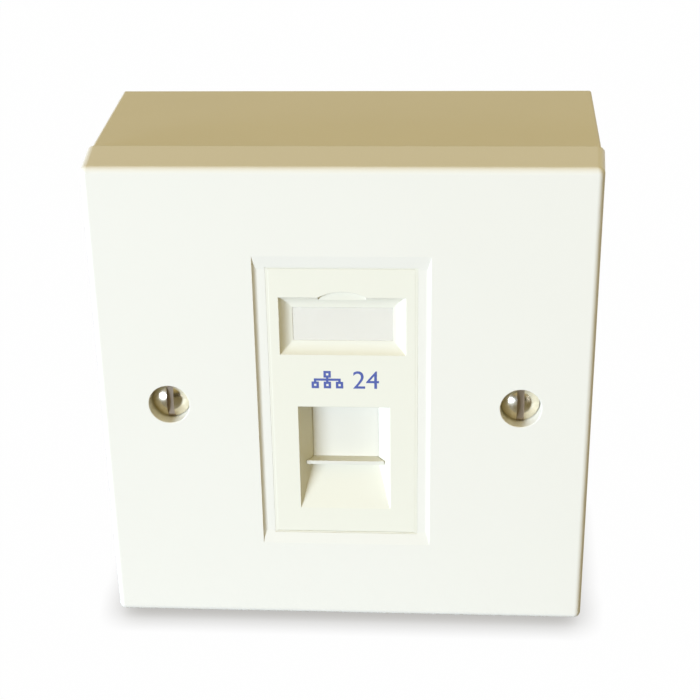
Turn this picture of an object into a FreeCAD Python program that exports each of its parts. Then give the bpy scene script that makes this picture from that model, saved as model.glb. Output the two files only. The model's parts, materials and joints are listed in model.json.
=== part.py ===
import FreeCAD, Part
import math
import os
import re

import Sketcher

# Wall-mounted ethernet socket: a surface box, a screwed faceplate and a snap-in module with a
# shuttered plug port. Millimetres. The wall is the plane y = 0, the front faces -Y, +Z is up.

doc = FreeCAD.newDocument("EthernetSocket")
sheet = doc.addObject("Spreadsheet::Sheet", "Sizes")

# A value that starts with = follows from the others
SIZES = {
    # Box on the wall
    "box_side": 85.0,
    "box_flare": 1.5,
    "box_depth": 35.0,
    "box_wall": 2.2,
    "box_base": 2.4,
    "box_corner": 0.5,
    "box_edge": 0.3,
    "pillar_diameter": 9.0,
    "pillar_gap": 1.0,
    "web_thickness": 2.0,
    "web_drop": 4.0,
    "slot_spacing": 50.0,
    "slot_length": 10.0,
    "slot_width": 4.5,
    "knockout_diameter": 20.0,
    "knockout_rise": 20.0,
    "knockout_groove": 0.9,
    "knockout_skin": 0.9,
    "trunking_width": 16.0,
    "trunking_depth": 16.0,
    # Faceplate
    "plate_overhang": 0.5,
    "plate_side": "=box_side + 2 * plate_overhang",
    "plate_depth": 10.0,
    "plate_taper": 0.9,
    "plate_corner": 1.2,
    "plate_edge": 1.1,
    "plate_wall": 2.4,
    "skirt_wall": 2.2,
    "tower_diameter": 10.4,
    "rib_thickness": 1.6,
    "rib_drop": 3.0,
    # Centre panel of the faceplate
    "panel_width": 29.6,
    "panel_height": 54.4,
    "panel_sink": 0.45,
    "panel_cove": 0.85,
    "panel_ramp": 2.4,
    # Screws and inserts
    "screw_spacing": 60.3,
    "screw_diameter": 3.4,
    "screw_length": 20.0,
    "screw_play": 0.4,
    "screw_room": 2.0,
    "head_diameter": 6.5,
    "head_rim": 0.5,
    "head_dome": 1.35,
    "head_slot": 1.2,
    "head_slot_depth": 0.8,
    "sink_depth": 2.75,
    "sink_mouth": 7.0,
    "sink_floor": 6.8,
    "sink_edge": 0.15,
    "insert_diameter": 5.0,
    "insert_length": 9.0,
    "insert_waist": 0.5,
    "insert_play": 0.05,
    # Module front
    "module_width": 25.0,
    "module_height": 50.0,
    "module_gap": 0.15,
    "module_edge": 0.35,
    "collar_wall": 1.6,
    "ledge_reach": 0.8,
    "ledge_thickness": 0.9,
    "ledge_play": 0.1,
    "bezel_depth": 9.5,
    "bezel_wall": 1.3,
    "bezel_face": 1.6,
    "catch_width": 8.0,
    "catch_reach": 0.7,
    "catch_length": 2.6,
    "catch_play": 0.1,
    # Label
    "label_width": 21.3,
    "label_height": 10.4,
    "label_rise": 14.6,
    "label_sink": 1.2,
    "label_cove": 2.2,
    "label_floor": 0.6,
    "label_play": 0.1,
    "window_thickness": 0.4,
    "card_thickness": 0.15,
    "scoop_width": 8.0,
    "scoop_height": 1.0,
    "scoop_depth": 0.7,
    # Plug port, shutter and spring
    "port_width": 15.8,
    "port_drop": 0.3,
    "port_height": 19.9,
    "port_depth": 3.0,
    "port_taper": 2.1,
    "port_wall": 1.6,
    "ramp_height": 7.9,
    "shutter_width": 13.8,
    "shutter_thickness": 1.2,
    "shutter_play": 0.15,
    "shutter_cover": 2.0,
    "shutter_overlap": 0.5,
    "shutter_stroke": 9.4,
    "rail_width": 1.5,
    "stop_height": 1.2,
    "lip_thickness": 0.7,
    "lip_setback": 1.2,
    "lip_play": 0.25,
    "peg_diameter": 1.2,
    "peg_height": 2.0,
    "spring_diameter": 2.6,
    "spring_wire": 0.3,
    "spring_turns": 8.0,
    "spring_play": 0.05,
    "spring_seat": 1.2,
    "guide_wall": 0.8,
    # Jack
    "jack_width": 16.0,
    "jack_depth": 14.5,
    "jack_back": 1.5,
    "jack_wall": 1.5,
    "jack_floor": 1.8,
    "plug_width": 11.9,
    "plug_height": 7.0,
    "latch_width": 6.6,
    "latch_drop": 1.8,
    "latch_length": 9.0,
    "contact_room": 2.7,
    "contact_row": 9.2,
    "contact_sill": 1.5,
    "arm_thickness": 1.4,
    "arm_height": 6.0,
    "arm_length": 12.0,
    "arm_play": 0.2,
    "hook_reach": 0.6,
    "hook_length": 2.0,
    "board_peg": 1.6,
    "board_peg_span": 13.0,
    "board_peg_play": 0.1,
    # Contacts
    "contact_pitch": 1.016,
    "contact_wire": 0.4,
    "contact_bend": 0.7,
    "contact_setback": 2.9,
    "contact_angle": 22.0,
    "contact_reach": 8.0,
    "contact_tail": 0.6,
    "contact_hole_play": 0.08,
    "carrier_length": 8.0,
    "carrier_play": 0.05,
    # Board and wire terminals
    "board_width": 23.2,
    "board_height": 26.0,
    "board_thickness": 1.6,
    "terminal_pitch": 5.2,
    "terminal_span": 17.0,
    "block_width": 6.6,
    "blade_width": 3.4,
    "block_end": 2.0,
    "block_height": "=3 * terminal_pitch + blade_width + 2 * block_end",
    "block_depth": 10.4,
    "block_base": 2.0,
    "wire_slot": 1.3,
    "wire_slot_depth": 7.0,
    "wire_slot_flare": 0.7,
    "blade_thickness": 0.5,
    "blade_slit": 0.35,
    "blade_slit_depth": 5.0,
    "blade_drop": 1.2,
    "blade_pin": 0.7,
    "blade_play": 0.1,
    "cap_wall": 0.9,
    "cap_skirt": 4.0,
    "cap_play": 0.1,
    "cap_notch": 1.6,
}

for row, (size_name, size_value) in enumerate(SIZES.items(), start=1):
    sheet.set(f"A{row}", size_name)
    sheet.set(f"B{row}", str(size_value))
    sheet.setAlias(f"B{row}", size_name)
doc.recompute()


def bound(expression):
    """Point every size named in an expression at its cell in the sheet."""
    return re.sub(
        r"[a-z][a-z_]*",
        lambda word: f"Sizes.{word[0]}" if word[0] in SIZES else word[0],
        expression,
    )


def number(expression):
    """Work an expression out with the sheet's values."""
    return float(sheet.evalExpression(bound(expression)))


class Profile:
    """A sketch on an origin plane of a body, with every point bound to the sheet."""

    def __init__(self, body, plane, offset="0"):
        self.sketch = body.newObject("Sketcher::SketchObject", "Profile")
        support = next(item for item in body.Origin.OriginFeatures if item.Role == plane)
        self.sketch.AttachmentSupport = [(support, "")]
        self.sketch.MapMode = "FlatFace"
        self.sketch.setExpression("AttachmentOffset.Base.z", bound(offset))

    def drive(self, constraint, expression):
        index = self.sketch.addConstraint(constraint)
        self.sketch.setExpression(f"Constraints[{index}]", bound(expression))

    def pin(self, geometry, point, x, y):
        self.drive(Sketcher.Constraint("DistanceX", geometry, point, number(x)), x)
        self.drive(Sketcher.Constraint("DistanceY", geometry, point, number(y)), y)

    def outline(self, points):
        """Closed outline. A point (x, y, radius, side) starts an arc with its centre to that side.

        A half circle also gives the x of its centre, which then sets its radius.
        """
        corners = [FreeCAD.Vector(number(point[0]), number(point[1]), 0) for point in points]
        ends = corners[1:] + corners[:1]
        first = self.sketch.GeometryCount
        for point, start, end in zip(points, corners, ends):
            if len(point) == 2:
                self.sketch.addGeometry(Part.LineSegment(start, end), False)
            else:
                middle = arc_middle(start, end, number(point[2]), point[3])
                self.sketch.addGeometry(Part.Arc(start, middle, end), False)
        order = [self.ends_of(first + index, corners[index]) for index in range(len(points))]
        for index, point in enumerate(points):
            following = (index + 1) % len(points)
            joint = Sketcher.Constraint(
                "Coincident", first + index, order[index][1], first + following, order[following][0]
            )
            self.sketch.addConstraint(joint)
            self.pin(first + index, order[index][0], point[0], point[1])
            if len(point) == 4:
                radius = Sketcher.Constraint("Radius", first + index, number(point[2]))
                self.drive(radius, point[2])
            if len(point) == 5:
                centre = Sketcher.Constraint("DistanceX", first + index, 3, number(point[4]))
                self.drive(centre, point[4])
        return self

    def ends_of(self, geometry, start):
        """An arc may be stored the other way round: give its start and end as drawn."""
        begins_there = self.sketch.getPoint(geometry, 1).distanceToPoint(start) < 1e-6
        return (1, 2) if begins_there else (2, 1)

    def rectangle(self, left, right, low, high):
        return self.outline([(left, low), (right, low), (right, high), (left, high)])

    def centred(self, width, height, x="0", y="0"):
        return self.rectangle(
            f"{x} - ({width}) / 2", f"{x} + ({width}) / 2", f"{y} - ({height}) / 2", f"{y} + ({height}) / 2"
        )

    def circle(self, x, y, diameter):
        centre = FreeCAD.Vector(number(x), number(y), 0)
        shape = Part.Circle(centre, FreeCAD.Vector(0, 0, 1), number(diameter) / 2)
        index = self.sketch.addGeometry(shape, False)
        self.pin(index, 3, x, y)
        self.drive(Sketcher.Constraint("Diameter", index, number(diameter)), diameter)
        return self

    def slot(self, x, y, length, width):
        """A level slot with round ends."""
        reach = f"(({length}) - ({width})) / 2"
        radius = f"({width}) / 2"
        left = f"{x} - {reach}"
        right = f"{x} + {reach}"
        return self.outline([
            (left, f"{y} - {radius}"),
            (right, f"{y} - {radius}", radius, 1, right),
            (right, f"{y} + {radius}"),
            (left, f"{y} + {radius}", radius, 1, left),
        ])


def arc_middle(start, end, radius, side):
    """The point halfway along the shorter arc whose centre lies left (1) or right (-1) of its chord."""
    chord = end - start
    half = chord.Length / 2
    rise = radius - math.sqrt(max(radius * radius - half * half, 0.0))
    left = FreeCAD.Vector(-chord.y, chord.x, 0).normalize()
    return (start + end) * 0.5 - left * (side * rise)


class Piece:
    """A body built up from sketches, feature by feature."""

    def __init__(self, label):
        self.body = doc.addObject("PartDesign::Body", label)
        self.body.Label = label

    def front(self, level="0"):
        """A sketch facing the viewer, a distance in front of the wall: x to the right, z up."""
        return Profile(self.body, "XZ_Plane", level)

    def side(self, place="0"):
        """A sketch seen from the right-hand side: y away from the viewer, z up."""
        return Profile(self.body, "YZ_Plane", place)

    def plan(self, height="0"):
        """A sketch seen from above: x to the right, y away from the viewer."""
        return Profile(self.body, "XY_Plane", height)

    def feature(self, kind, profile, length=None, reverse=False, symmetric=False, taper=None):
        made = self.body.newObject(f"PartDesign::{kind}", kind)
        made.Profile = profile.sketch
        made.Reversed = reverse
        if length:
            made.setExpression("Length", bound(length))
        if symmetric:
            made.SideType = "Symmetric"
        if taper:
            made.setExpression("TaperAngle", bound(taper))
        return made

    def pad(self, profile, length, **options):
        """Front sketches grow towards the viewer, side ones to the right and plan ones upwards."""
        return self.feature("Pad", profile, length, **options)

    def pocket(self, profile, length, **options):
        """Cuts the other way: front sketches cut towards the wall."""
        return self.feature("Pocket", profile, length, **options)

    def through(self, profile, reverse=False):
        made = self.feature("Pocket", profile, reverse=reverse)
        made.Type = "ThroughAll"
        return made

    def loft_cut(self, mouth, floor):
        made = self.body.newObject("PartDesign::SubtractiveLoft", "LoftCut")
        made.Profile = mouth.sketch
        made.Sections = [floor.sketch]
        made.Ruled = True
        return made

    def turn(self, profile):
        """Revolve a plan sketch round the body's own Y axis."""
        made = self.body.newObject("PartDesign::Revolution", "Turned")
        made.Profile = profile.sketch
        made.ReferenceAxis = (profile.sketch, ["V_Axis"])
        made.Angle = 360
        return made

    def round_edges(self, radius, wanted):
        """Fillet the edges of the newest feature that a test picks out."""
        doc.recompute()
        base = self.body.Tip
        names = [f"Edge{index}" for index, edge in enumerate(base.Shape.Edges, 1) if wanted(edge)]
        made = self.body.newObject("PartDesign::Fillet", "Rounded")
        made.Base = (base, names)
        made.setExpression("Radius", bound(radius))
        return made


def runs_along_y(edge):
    first, last = edge.Vertexes[0].Point, edge.Vertexes[-1].Point
    step = last - first
    return abs(step.y) > 0.9 * step.Length > 0


def lies_in_front_plane(level):
    plane = -number(level)
    return lambda edge: all(abs(vertex.Point.y - plane) < 1e-6 for vertex in edge.Vertexes)


def ring_in_front_plane(level):
    flat = lies_in_front_plane(level)
    return lambda edge: edge.isClosed() and flat(edge)


# Levels in front of the wall and heights above the centre, as expressions
FRONT = "(box_depth + plate_depth)"
INSIDE = f"({FRONT} - plate_wall)"
FACE = f"({FRONT} - panel_sink)"
PILLAR_TOP = "(box_depth - pillar_gap)"
HEAD_SEAT = f"({FRONT} - sink_depth)"
LABEL_FLAT_WIDTH = "(label_width - 2 * label_cove)"
LABEL_FLAT_HEIGHT = "(label_height - 2 * label_cove)"
LABEL_BACK = "(label_sink + window_thickness + card_thickness + label_floor)"
PORT_TOP = "(-port_drop)"
PORT_FOOT = "(-port_drop - port_height)"
RAMP_HEAD = f"({PORT_FOOT} + ramp_height)"
SHUTTER_FRONT = "(port_depth + shutter_play)"
SHUTTER_FOOT = f"({RAMP_HEAD} - shutter_overlap)"
SHUTTER_HEAD = f"({PORT_TOP} + shutter_cover)"
LIP_FOOT = f"({RAMP_HEAD} + lip_play)"
SPRING_TOP = "(module_height / 2 - bezel_wall - spring_seat)"
SPRING_AXIS = f"({SHUTTER_FRONT} + shutter_thickness / 2)"
JACK_FRONT = f"({SHUTTER_FRONT} + shutter_thickness + shutter_play)"
JACK_REAR = f"({JACK_FRONT} + jack_depth)"
PLUG_FLOOR = f"({RAMP_HEAD} + latch_drop)"
PLUG_ROOF = f"({PLUG_FLOOR} + plug_height)"
PLUG_MIDDLE = f"({PLUG_FLOOR} + plug_height / 2)"
JACK_TOP = f"({PLUG_ROOF} + contact_room + jack_wall)"
JACK_FOOT = f"({RAMP_HEAD} - jack_floor)"
CONTACT_RUN = f"({PLUG_ROOF} + contact_room - 2 * contact_wire - carrier_play)"
BOARD_REAR = f"({JACK_REAR} + board_thickness)"
BLOCK_REAR = f"({BOARD_REAR} + block_depth)"
HOOK_BACK = f"({JACK_FRONT} + arm_length)"


def behind(depth):
    """The level of a plane that lies a depth behind the module's face."""
    return f"({FACE} - ({depth}))"


def at(depth):
    """The y of a plane that lies a depth behind the module's face."""
    return f"(({depth}) - {FACE})"


def make_back_box():
    box = Piece("back_box")
    foot = "box_side + 2 * box_flare"
    taper = "-atan(box_flare / box_depth)"
    box.pad(box.front().centred(foot, foot), "box_depth", taper=taper)
    box.round_edges("box_corner", runs_along_y)
    box.round_edges("box_edge", lies_in_front_plane("box_depth"))
    inner = "box_side - 2 * box_wall"
    box.pocket(box.front("box_depth").centred(inner, inner), "box_depth - box_base")
    for sign in ("", "-"):
        pillar = box.front().circle(f"{sign}screw_spacing / 2", "0", "pillar_diameter")
        box.pad(pillar, PILLAR_TOP)
        web_ends = [f"{sign}screw_spacing / 2", f"{sign}(box_side - box_wall) / 2"]
        if sign:
            web_ends.reverse()
        web = box.front().rectangle(*web_ends, "-web_thickness / 2", "web_thickness / 2")
        box.pad(web, f"{PILLAR_TOP} - web_drop")
    for sign in ("", "-"):
        place = f"{sign}screw_spacing / 2"
        insert_hole = box.front(PILLAR_TOP).circle(place, "0", "insert_diameter + 2 * insert_play")
        box.pocket(insert_hole, "insert_length")
        screw_hole = box.front(PILLAR_TOP).circle(place, "0", "screw_diameter + screw_play")
        box.pocket(screw_hole, f"screw_length + screw_room - ({HEAD_SEAT} - {PILLAR_TOP})")
    slots = box.front("box_base")
    for x_sign in ("", "-"):
        for z_sign in ("", "-"):
            slots.slot(f"{x_sign}slot_spacing / 2", f"{z_sign}slot_spacing / 2", "slot_length", "slot_width")
    box.pocket(slots, "box_base")
    rings = box.front("box_base")
    for sign in ("", "-"):
        rings.circle("0", f"{sign}knockout_rise", "knockout_diameter")
        rings.circle("0", f"{sign}knockout_rise", "knockout_diameter - 2 * knockout_groove")
    box.pocket(rings, "box_base - knockout_skin")
    half = "trunking_width / 2"
    for sign in ("", "-"):
        groove = box.plan(f"{sign}(box_side / 2 - box_wall)").outline([
            (f"-{half}", "-box_base"),
            (f"-{half} + knockout_groove", "-box_base"),
            (f"-{half} + knockout_groove", "-trunking_depth + knockout_groove"),
            (f"{half} - knockout_groove", "-trunking_depth + knockout_groove"),
            (f"{half} - knockout_groove", "-box_base"),
            (half, "-box_base"),
            (half, "-trunking_depth"),
            (f"-{half}", "-trunking_depth"),
        ])
        box.pocket(groove, "box_wall - knockout_skin", reverse=not sign)
    return box.body


def make_pair(label, body):
    """A turned piece on the right-hand screw's axis and its mirror image on the left."""
    body.setExpression("Placement.Base.x", bound("screw_spacing / 2"))
    mirror = doc.addObject("Part::Mirroring", f"{label}_left")
    mirror.Source = body
    mirror.Normal = FreeCAD.Vector(1, 0, 0)
    pair = doc.addObject("Part::Compound", label)
    pair.Label = label
    pair.Links = [body, mirror]
    return pair


def make_box_inserts():
    insert = Piece("insert_right")
    outer = "insert_diameter / 2"
    bore = "(screw_diameter + screw_play / 4) / 2"
    waist = f"{outer} - insert_waist"
    third = "insert_length / 3"
    insert.turn(insert.plan().outline([
        (bore, f"-{PILLAR_TOP}"),
        (outer, f"-{PILLAR_TOP}"),
        (outer, f"-{PILLAR_TOP} + {third}"),
        (waist, f"-{PILLAR_TOP} + {third} + insert_waist"),
        (waist, f"-{PILLAR_TOP} + 2 * {third} - insert_waist"),
        (outer, f"-{PILLAR_TOP} + 2 * {third}"),
        (outer, f"-{PILLAR_TOP} + insert_length"),
        (bore, f"-{PILLAR_TOP} + insert_length"),
    ]))
    return make_pair("box_inserts", insert.body)


def make_faceplate_screws():
    screw = Piece("screw_right")
    shank = "screw_diameter / 2"
    head = "head_diameter / 2"
    rim = f"(-{HEAD_SEAT} - head_rim)"
    crown = f"({rim} - head_dome)"
    tip = f"(-{HEAD_SEAT} + screw_length)"
    dome = f"({head} * {head} + head_dome * head_dome) / (2 * head_dome)"
    screw.turn(screw.plan().outline([
        ("0", crown),
        ("0", tip),
        (f"{shank} / 2", tip),
        (shank, f"{tip} - {shank} / 2"),
        (shank, f"-{HEAD_SEAT}"),
        (head, f"-{HEAD_SEAT}"),
        (head, rim, dome, -1),
    ]))
    driver_slot = screw.front(f"-{crown}").centred("head_slot", "2 * head_diameter")
    screw.pocket(driver_slot, "head_slot_depth")
    return make_pair("faceplate_screws", screw.body)


def make_faceplate():
    plate = Piece("faceplate")
    taper = "-atan(plate_taper / plate_depth)"
    plate.pad(plate.front("box_depth").centred("plate_side", "plate_side"), "plate_depth", taper=taper)
    plate.round_edges("plate_corner", runs_along_y)
    plate.round_edges("plate_edge", lies_in_front_plane(FRONT))
    inner = "plate_side - 2 * skirt_wall"
    plate.pocket(plate.front("box_depth").centred(inner, inner), "plate_depth - plate_wall", reverse=True)
    opening_width = "(module_width + 2 * module_gap)"
    opening_height = "(module_height + 2 * module_gap)"
    collar_end = f"({FACE} - bezel_depth - ledge_play - ledge_thickness)"
    collar = plate.front(collar_end)
    collar.centred(f"{opening_width} + 2 * collar_wall", f"{opening_height} + 2 * collar_wall")
    plate.pad(collar, f"{INSIDE} - {collar_end}")
    towers = plate.front(PILLAR_TOP)
    for sign in ("", "-"):
        towers.circle(f"{sign}screw_spacing / 2", "0", "tower_diameter")
    plate.pad(towers, f"{INSIDE} - {PILLAR_TOP}")
    ribs = plate.front("box_depth + rib_drop")
    ribs.rectangle("screw_spacing / 2", "plate_side / 2 - skirt_wall / 2", "-rib_thickness / 2", "rib_thickness / 2")
    ribs.rectangle("-plate_side / 2 + skirt_wall / 2", "-screw_spacing / 2", "-rib_thickness / 2", "rib_thickness / 2")
    plate.pad(ribs, f"{INSIDE} - box_depth - rib_drop")
    cove = "(panel_cove * panel_cove + panel_sink * panel_sink) / (2 * panel_sink)"
    edge = "panel_width / 2"
    panel = plate.plan().outline([
        (f"-{edge}", f"-{FRONT} - panel_sink"),
        (f"{edge}", f"-{FRONT} - panel_sink"),
        (f"{edge}", f"-{FRONT}", cove, 1),
        (f"{edge} - panel_cove", f"-{FACE}"),
        (f"-{edge} + panel_cove", f"-{FACE}", cove, 1),
        (f"-{edge}", f"-{FRONT}"),
    ])
    plate.pocket(panel, "panel_height", symmetric=True)
    for sign in ("", "-"):
        end = f"{sign}panel_height / 2"
        start = f"{sign}(panel_height / 2 - panel_ramp)"
        ramp = plate.side().outline([(f"-{FACE}", start), (f"-{FRONT}", end), (f"-{FACE}", end)])
        plate.pad(ramp, "panel_width", symmetric=True)
    opening = plate.front(FRONT).centred(opening_width, opening_height)
    plate.pocket(opening, f"{FRONT} - {collar_end} - ledge_thickness")
    ledge = plate.front(FRONT).centred(f"{opening_width} - 2 * ledge_reach", opening_height)
    plate.through(ledge)
    catch_start = f"({INSIDE} - catch_length - 2 * catch_play)"
    catch_slots = plate.front(catch_start)
    reach = f"{opening_height} / 2 + catch_reach + catch_play"
    catch_slots.centred("catch_width + 2 * catch_play", f"2 * ({reach})")
    plate.pocket(catch_slots, "catch_length + 2 * catch_play", reverse=True)
    sinks = plate.front(FRONT)
    holes = plate.front(FRONT)
    for sign in ("", "-"):
        sinks.circle(f"{sign}screw_spacing / 2", "0", "sink_mouth")
        holes.circle(f"{sign}screw_spacing / 2", "0", "screw_diameter + screw_play")
    narrowing = "-atan((sink_mouth - sink_floor) / 2 / sink_depth)"
    plate.pocket(sinks, "sink_depth", taper=narrowing)
    plate.round_edges("sink_edge", ring_in_front_plane(FRONT))
    plate.through(holes)
    return plate.body


def make_module_bezel():
    bezel = Piece("module_bezel")
    rear = behind("bezel_depth")
    bezel.pad(bezel.front(rear).centred("module_width", "module_height"), "bezel_depth")
    bezel.round_edges("module_edge", runs_along_y)
    bezel.round_edges("module_edge", lies_in_front_plane(FACE))
    inner = ("module_width - 2 * bezel_wall", "module_height - 2 * bezel_wall")
    bezel.pocket(bezel.front(rear).centred(*inner), "bezel_depth - bezel_face", reverse=True)

    def block(back, left, right, low, high):
        """Material between the back of the face and a plane further back."""
        bezel.pad(bezel.front(behind(back)).rectangle(left, right, low, high), f"{back} - bezel_face / 2")

    half_label = "label_width / 2"
    block(LABEL_BACK, f"-{half_label}", half_label, "label_rise - label_height / 2", "label_rise + label_height / 2")
    half_port = "(port_width / 2 + port_wall)"
    block("port_depth", f"-{half_port}", half_port, f"{PORT_FOOT} - port_wall", f"{PORT_TOP} + port_wall")
    rail_in = "(shutter_width / 2 + shutter_play)"
    rail_out = f"({rail_in} + rail_width)"
    stop_top = f"({SHUTTER_FOOT} - shutter_play)"
    rail_top = f"({SHUTTER_HEAD} + shutter_stroke + shutter_play)"
    block(JACK_FRONT, rail_in, rail_out, f"{stop_top} - stop_height", rail_top)
    block(JACK_FRONT, f"-{rail_out}", f"-{rail_in}", f"{stop_top} - stop_height", rail_top)
    block(JACK_FRONT, f"-{rail_out}", rail_out, f"{stop_top} - stop_height", stop_top)
    guide_in = "(spring_diameter / 2 + shutter_play)"
    guide_out = f"({guide_in} + guide_wall)"
    guide_foot = f"({SHUTTER_HEAD} + shutter_stroke + peg_height + shutter_play)"
    guide_back = f"({SPRING_AXIS} + spring_diameter / 2)"
    block(guide_back, guide_in, guide_out, guide_foot, SPRING_TOP)
    block(guide_back, f"-{guide_out}", f"-{guide_in}", guide_foot, SPRING_TOP)
    block(guide_back, f"-{guide_out}", guide_out, SPRING_TOP, "module_height / 2 - bezel_wall / 2")
    for sign in ("", "-"):
        inner_face = f"{sign}(jack_width / 2 + arm_play)"
        outer_face = f"{sign}(jack_width / 2 + arm_play + arm_thickness)"
        arm = bezel.front(behind(HOOK_BACK))
        faces = [outer_face, inner_face] if sign else [inner_face, outer_face]
        arm.rectangle(*faces, f"{PLUG_MIDDLE} - arm_height / 2", f"{PLUG_MIDDLE} + arm_height / 2")
        bezel.pad(arm, f"{HOOK_BACK} - port_depth + port_wall")
        hook = bezel.plan(f"{PLUG_MIDDLE} - arm_height / 2").outline([
            (inner_face, at(f"{HOOK_BACK} - hook_length")),
            (f"{sign}(jack_width / 2 - hook_reach)", at(f"{HOOK_BACK} - hook_length")),
            (inner_face, at(HOOK_BACK)),
        ])
        bezel.pad(hook, "arm_height")
        catch_front = f"(-{INSIDE} + catch_play)"
        catch = bezel.side().outline([
            (catch_front, f"{sign}module_height / 2"),
            (catch_front, f"{sign}(module_height / 2 + catch_reach)"),
            (f"{catch_front} + catch_length", f"{sign}module_height / 2"),
        ])
        bezel.pad(catch, "catch_width", symmetric=True)

    cove = "(label_cove * label_cove + label_sink * label_sink) / (2 * label_sink)"
    recess = bezel.plan("label_rise").outline([
        (f"-{half_label}", at("-label_sink")),
        (half_label, at("-label_sink")),
        (half_label, at("0"), cove, 1),
        (f"{half_label} - label_cove", at("label_sink")),
        (f"-{half_label} + label_cove", at("label_sink"), cove, 1),
        (f"-{half_label}", at("0")),
    ])
    bezel.pocket(recess, "label_height", symmetric=True)
    for sign, centre_side in (("+", 1), ("-", -1)):
        end = f"(label_rise {sign} label_height / 2)"
        start = f"(label_rise {sign} (label_height / 2 - label_cove))"
        bank = bezel.side().outline([
            (at("label_sink"), start, cove, centre_side),
            (at("0"), end),
            (at("label_sink"), end),
        ])
        bezel.pad(bank, "label_width", symmetric=True)
    seat = bezel.front(behind("label_sink")).centred(LABEL_FLAT_WIDTH, LABEL_FLAT_HEIGHT, y="label_rise")
    bezel.pocket(seat, "window_thickness + card_thickness")
    label_top = "label_rise + label_height / 2"
    scoop_radius = "(scoop_width * scoop_width / 4 + scoop_height * scoop_height) / (2 * scoop_height)"
    scoop = bezel.front(FACE).outline([
        ("-scoop_width / 2", f"{label_top} - label_cove"),
        ("scoop_width / 2", f"{label_top} - label_cove"),
        ("scoop_width / 2", label_top, scoop_radius, 1),
        ("-scoop_width / 2", label_top),
    ])
    bezel.pocket(scoop, "scoop_depth")
    mouth = bezel.front(FACE).rectangle("-port_width / 2", "port_width / 2", PORT_FOOT, PORT_TOP)
    throat = bezel.front(behind("port_depth"))
    throat.rectangle("-port_width / 2 + port_taper", "port_width / 2 - port_taper", RAMP_HEAD, PORT_TOP)
    bezel.loft_cut(mouth, throat)
    return bezel.body


def make_label():
    window = Piece("label_window")
    size = (f"{LABEL_FLAT_WIDTH} - 2 * label_play", f"{LABEL_FLAT_HEIGHT} - 2 * label_play")
    window_back = "(label_sink + window_thickness)"
    window.pad(window.front(behind(window_back)).centred(*size, y="label_rise"), "window_thickness")
    card = Piece("label_card")
    card.pad(
        card.front(behind(f"{window_back} + card_thickness")).centred(*size, y="label_rise"), "card_thickness"
    )
    return [window.body, card.body]


def make_shutter():
    shutter = Piece("shutter")
    plate = shutter.front(behind(f"{SHUTTER_FRONT} + shutter_thickness"))
    plate.rectangle("-shutter_width / 2", "shutter_width / 2", SHUTTER_FOOT, SHUTTER_HEAD)
    shutter.pad(plate, "shutter_thickness")
    slope = "port_taper / port_depth"
    tip = f"(port_width / 2 - {slope} * lip_setback - lip_play)"
    root = "(port_width / 2 - port_taper - lip_play)"
    lip = shutter.plan(LIP_FOOT).outline([
        (f"-{tip}", at("lip_setback")),
        (tip, at("lip_setback")),
        (root, at("port_depth")),
        (root, at(f"{SHUTTER_FRONT} + shutter_thickness / 2")),
        (f"-{root}", at(f"{SHUTTER_FRONT} + shutter_thickness / 2")),
        (f"-{root}", at("port_depth")),
    ])
    shutter.pad(lip, "lip_thickness")
    peg = shutter.plan(f"{SHUTTER_HEAD} - peg_diameter").circle("0", at(SPRING_AXIS), "peg_diameter")
    shutter.pad(peg, "peg_height + peg_diameter")
    return shutter.body


def make_shutter_spring():
    spring = Piece("shutter_spring")
    low = f"({SHUTTER_HEAD} + spring_wire / 2 + spring_play)"
    high = f"({SPRING_TOP} - spring_wire / 2 - spring_play)"
    outer = "spring_diameter / 2"
    wire = spring.side().rectangle(
        f"{outer} - spring_wire", outer, f"{low} - spring_wire / 2", f"{low} + spring_wire / 2"
    )
    coil = spring.body.newObject("PartDesign::AdditiveHelix", "Coil")
    coil.Profile = wire.sketch
    coil.ReferenceAxis = (wire.sketch, ["V_Axis"])
    coil.Mode = "height-turns-growth"
    coil.setExpression("Height", bound(f"{high} - {low}"))
    coil.setExpression("Turns", bound("spring_turns"))
    spring.body.setExpression("Placement.Base.y", bound(at(SPRING_AXIS)))
    return spring.body


def make_jack_housing():
    jack = Piece("jack_housing")
    outer = jack.front(behind(JACK_REAR)).rectangle("-jack_width / 2", "jack_width / 2", JACK_FOOT, JACK_TOP)
    jack.pad(outer, "jack_depth")
    cavity = jack.front(behind(JACK_FRONT))
    cavity.rectangle("-plug_width / 2", "plug_width / 2", PLUG_FLOOR, PLUG_ROOF)
    jack.pocket(cavity, "jack_depth - jack_back")
    latch = jack.front(behind(JACK_FRONT))
    latch.rectangle("-latch_width / 2", "latch_width / 2", RAMP_HEAD, f"{PLUG_FLOOR} + latch_drop / 2")
    jack.pocket(latch, "latch_length")
    recess = jack.front(behind(f"{JACK_FRONT} + contact_sill"))
    recess.rectangle(
        "-contact_row / 2", "contact_row / 2", f"{PLUG_ROOF} - contact_wire", f"{PLUG_ROOF} + contact_room"
    )
    jack.pocket(recess, "jack_depth - contact_sill")
    notch_start = f"({HOOK_BACK} - hook_length - arm_play)"
    notches = jack.front(behind(notch_start))
    for sign in ("", "-"):
        faces = [f"{sign}(jack_width / 2 - hook_reach - arm_play)", f"{sign}(jack_width / 2 + arm_play)"]
        if sign:
            faces.reverse()
        low = f"{PLUG_MIDDLE} - arm_height / 2 - arm_play"
        notches.rectangle(*faces, low, f"{PLUG_MIDDLE} + arm_height / 2 + arm_play")
    jack.pocket(notches, "hook_length + 2 * arm_play")
    pegs = jack.front(behind(BOARD_REAR))
    for sign in ("", "-"):
        pegs.circle(f"{sign}board_peg_span / 2", JACK_FOOT + " + board_peg", "board_peg")
    jack.pad(pegs, "board_thickness + jack_back / 2")
    return jack.body


def contact_place(index):
    return f"contact_pitch * {index - 4.5}"


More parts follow.
